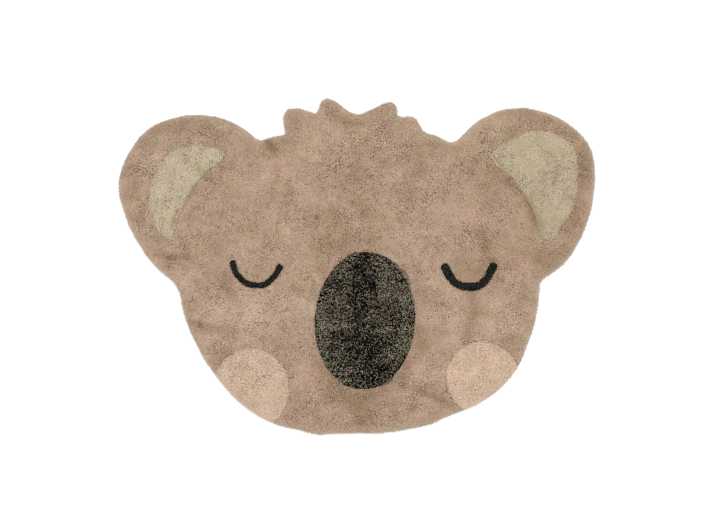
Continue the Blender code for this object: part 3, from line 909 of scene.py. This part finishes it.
def strandTones(spots, yarn, rough, dice):
    # most tufts are much alike, and a few are darker with painted shade, where a cut end lies deep in a
    # parting
    low, span = tones["partingFrom"]
    deepPaintedShade = tones["partingDepth"] * smooth((waves(spots, *toneWaves["paintedPartingShade"]) - low) / span)
    deepPaintedShade = deepPaintedShade * dice.uniform(*tones["partingEven"], len(spots))
    mixed, more = tones["mixed"]
    tone = (tones["usual"] + (mixed + more * rough) * dice.normal(0, 1, len(spots))
            - tones["paintedPartingShade"] * rough * deepPaintedShade)
    if yarn == "nose":
        # the marl's plies come up in streaks along the rows
        middle, halfWidth = tones["marlMiddle"]
        side = (spots[:, 0] - middle) / halfWidth
        streaks = waves(spots, *toneWaves["streaks"])
        flecks = waves(spots, *toneWaves["flecks"])
        tone = (tones["marl"] + tones["marlSides"] * side ** 2 + markedAs(spots, marlMarks)[0]
                + tones["streaks"] * streaks + tones["flecks"] * flecks
                + dice.normal(0, tones["marlMixed"], len(spots)))
    return np.clip(tone, 0, 1)


# A tuft's points are its root, four round its belly and its tip, and each of its four sides has
# a face down to the root and one up to the tip.
tuft = {
    "belly": (0.70, 0.70, 0.80),  # it is thickest this far along in X, Y and Z, so it bends upwards
    "bellyShade": 0.8,  # how far from the root the belly counts in the shading
    "thickness": (0.85, 1.15),  # of its radius, from the thinnest to the thickest
    "lowest": 0.1 * mm,  # nothing reaches into the floor
}
tuftSides = 4
tuftPoints = tuftSides + 2
tuftFaces = []
for side in range(tuftSides):
    here, after = 1 + side, 1 + (side + 1) % tuftSides
    tuftFaces += [(0, after, here), (here, after, tuftPoints - 1)]


def tuftMap(count):
    # a cell of the map for each tuft, with its sides in columns
    foot, belly, tip = 0.04, 0.66, 0.96
    corners = []
    for side in range(tuftSides):
        left, right = (side + 0.1) / tuftSides, (side + 0.9) / tuftSides
        middle = (left + right) / 2
        corners += [(middle, foot), (right, belly), (left, belly)]
        corners += [(left, belly), (right, belly), (middle, tip)]
    across = int(np.ceil(count ** 0.5))
    cells = np.stack([np.arange(count) % across, np.arange(count) // across], 1)
    return ((cells[:, None] + np.array(corners)[None]) / across).reshape(-1, 2)


def tuftMesh(name, root, tip, radius, values, dice):
    count = len(root)
    axis = tip - root
    axis /= np.linalg.norm(axis, axis=1)[:, None]
    sideA = np.cross(axis, [0.31, 0.95, 0.05])  # any way that no tuft points
    sideA /= np.linalg.norm(sideA, axis=1)[:, None]
    sideB = np.cross(axis, sideA)
    twist = dice.uniform(0, 2 * pi, count)
    belly = root + (tip - root) * tuft["belly"]
    points = np.empty((count, tuftPoints, 3))
    points[:, 0] = root
    for side in range(tuftSides):
        turn = (twist + 2 * pi * side / tuftSides)[:, None]
        points[:, 1 + side] = belly + (sideA * np.cos(turn) + sideB * np.sin(turn)) * radius[:, None]
    points[:, -1] = tip
    points[:, :, 2] = np.maximum(points[:, :, 2], tuft["lowest"])
    corners = (np.array(tuftFaces)[None] + tuftPoints * np.arange(count)[:, None, None]).reshape(-1)
    mesh = bpy.data.meshes.new(name)
    mesh.vertices.add(count * tuftPoints)
    mesh.vertices.foreach_set("co", points.ravel())
    mesh.loops.add(len(corners))
    mesh.loops.foreach_set("vertex_index", corners.astype(np.int32))
    mesh.polygons.add(len(corners) // 3)
    mesh.polygons.foreach_set("loop_start", np.arange(0, len(corners), 3, dtype=np.int32))
    mesh.update(calc_edges=True)
    spread = {key: np.repeat(value, tuftPoints) for key, value in values.items()}
    spread["fromRoot"] = np.tile([0] + [tuft["bellyShade"]] * tuftSides + [1.0], count)
    for key, value in spread.items():
        mesh.attributes.new(key, "FLOAT", "POINT").data.foreach_set("value", value.astype(np.float32))
    mesh.uv_layers.new(name="OFBake").data.foreach_set("uv", tuftMap(count).ravel())
    mesh.shade_smooth()
    piece = bpy.data.objects.new(name, mesh)
    bpy.context.scene.collection.objects.link(piece)
    return piece


def makeTufts(node, seed):
    own = areas[node]
    dice = np.random.default_rng(seed)
    edges = pileEdges(node)
    root, tip, rough, depth = topTufts(node, own, edges, dice, seed)
    rimRoot, rimTip = rimTufts(edges, dice)
    onRim = np.repeat([0, 1], [len(root), len(rimRoot)])
    root, tip = np.concatenate([root, rimRoot]), np.concatenate([tip, rimTip])
    rough = np.concatenate([rough, np.full(len(rimRoot), pile["rimRough"])])
    depth = np.concatenate([depth, np.zeros(len(rimRoot))])
    spots = tip[:, :2]
    radius = np.where(onRim, pile["rimRadius"], own["radius"])
    radius = radius * dice.uniform(*tuft["thickness"], len(root))
    worn, fade = pile["rimFray"]
    values = {"strandTone": strandTones(spots, own["yarn"], rough, dice), "paintedNapShade": paintedShadeField(spots, depth),
              "fray": worn * np.exp(-depth / fade)}
    pieces = []
    for strip, part in enumerate(np.array_split(np.argsort(spots[:, 0], kind="stable"), own["strips"])):
        label = own["name"] + "Tufts" + (str(strip + 1) if own["strips"] > 1 else "")
        piece = tuftMesh(label, root[part], tip[part], radius[part],
                         {key: value[part] for key, value in values.items()}, dice)
        dress(piece, node, materials[own["yarn"]])
        pieces.append(piece)
    print(own["name"] + "Tufts:", len(root), "tufts")
    return pieces


def makePacked(node):
    # the dense yarn under the tufts' ends: the solid lowered, and drawn in from the rug's edge; it
    # carries no tuft values, so it shows the blend's darkest end under the full painted root shade
    own = areas[node]
    piece = mergedCopy(node, own["name"] + "Packed")
    cutFlat(pile["groundTop"] + pile["packedClear"], keepBelow=False)
    bpy.ops.mesh.select_all(action="SELECT")
    bpy.ops.transform.resize(value=(1, 1, pile["packed"]), center_override=(0, 0, pile["groundTop"]))
    bpy.ops.object.mode_set(mode="OBJECT")
    points = np.empty(len(piece.data.vertices) * 3)
    piece.data.vertices.foreach_get("co", points)
    points = points.reshape(-1, 3)
    points[:, :2] = drawnIn(points[:, :2], *rimDepth(points[:, :2].copy()))
    piece.data.vertices.foreach_set("co", points.ravel())
    piece.data.update()
    bpy.ops.object.shade_smooth_by_angle(angle=0.7)
    dress(piece, node, materials[own["yarn"]])
    return piece


# The ground cloth that the yarn is tufted into: plain cotton canvas, which shows underneath

groundCloth = {
    "thickness": 1.95 * mm,
    "color": (0.62, 0.57, 0.47, 1),
    "dark": (0.45, 0.405, 0.32, 1),
    "threadPitch": 1.6 * mm,
    "flat": (1.2, 0.847),
}


def makeCanvas():
    material = bpy.data.materials.new("groundCanvas")
    material.use_nodes = True
    tree = material.node_tree
    shader = tree.nodes["Principled BSDF"]
    shader.inputs["Roughness"].default_value = 0.9
    shader.inputs["Sheen Weight"].default_value = 0.1
    place = addNode(tree, "TexCoord").outputs["Object"]
    turns = 1 / groundCloth["threadPitch"] / 20 * pi  # one wave of the texture over two threads
    warp, weft = [addNode(tree, "TexWave", {"bands_direction": way, "wave_profile": "SIN"},
                          Vector=place, Scale=turns, Distortion=0.4, Detail=1.0) for way in "XY"]
    weave = addNode(tree, "Math", {"operation": "MULTIPLY"},
                    at0=warp.outputs["Fac"], at1=weft.outputs["Fac"])
    slub = addNode(tree, "TexNoise", Vector=place, Scale=60.0, Detail=4.0)
    mixed = addNode(tree, "Math", {"operation": "MULTIPLY"},
                    at0=weave.outputs[0], at1=slub.outputs["Fac"])
    blend = addNode(tree, "ValToRGB", Fac=mixed.outputs[0])
    blend.color_ramp.elements[0].color = groundCloth["dark"]
    blend.color_ramp.elements[1].color = groundCloth["color"]
    blend.color_ramp.elements[1].position = 0.5
    tree.links.new(blend.outputs["Color"], shader.inputs["Base Color"])
    bump = addNode(tree, "Bump", Strength=0.6, Distance=0.0005, Height=weave.outputs[0])
    tree.links.new(bump.outputs["Normal"], shader.inputs["Normal"])
    return material


def makeGroundCloth(material):
    piece = mergedCopy("pile_field", "groundCloth")
    cutFlat(groundCloth["thickness"], keepBelow=True)
    bpy.ops.object.mode_set(mode="OBJECT")
    dress(piece, "pile_field", material)
    return piece


# The studio: a white floor, a bright room and one large soft light from the hair's side

studio = {
    "room": 1.0,
    "floor": (0.86, 0.86, 0.86, 1),
    "floorSize": 30,
    "keyPlace": (0.2, 0.6, 2.6),
    "keySize": 2.0,
    "keyPower": 45,
}


def makeStudio():
    bpy.ops.mesh.primitive_plane_add(size=studio["floorSize"], location=(0, 0, 0))
    floor = bpy.context.object
    floor.name = "floor"
    paper = bpy.data.materials.new("floorPaper")
    paper.use_nodes = True
    shader = paper.node_tree.nodes["Principled BSDF"]
    shader.inputs["Base Color"].default_value = studio["floor"]
    shader.inputs["Roughness"].default_value = 0.8
    floor.data.materials.append(paper)
    room = bpy.data.worlds.new("room")
    room.use_nodes = True
    light = room.node_tree.nodes["Background"]
    light.inputs["Color"].default_value = (1, 1, 1, 1)
    light.inputs["Strength"].default_value = studio["room"]
    bpy.context.scene.world = room
    bpy.ops.object.light_add(type="AREA", location=studio["keyPlace"])
    key = bpy.context.object
    key.name = "key"
    key.data.shape = "DISK"
    key.data.size = studio["keySize"]
    key.data.energy = studio["keyPower"]
    key.rotation_euler = (-key.location).to_track_quat("-Z", "Y").to_euler()


placeCamera()
pileParts = []
for seed, node in enumerate(areas, 1):
    pileParts += makeTufts(node, seed)
    pileParts.append(makePacked(node))
cloth = makeGroundCloth(makeCanvas())
print("the ground cloth is cut")

makeStudio()
triangles = sum(len(face.vertices) - 2 for piece in pileParts + [cloth] for face in piece.data.polygons)
print("triangles in all:", triangles)
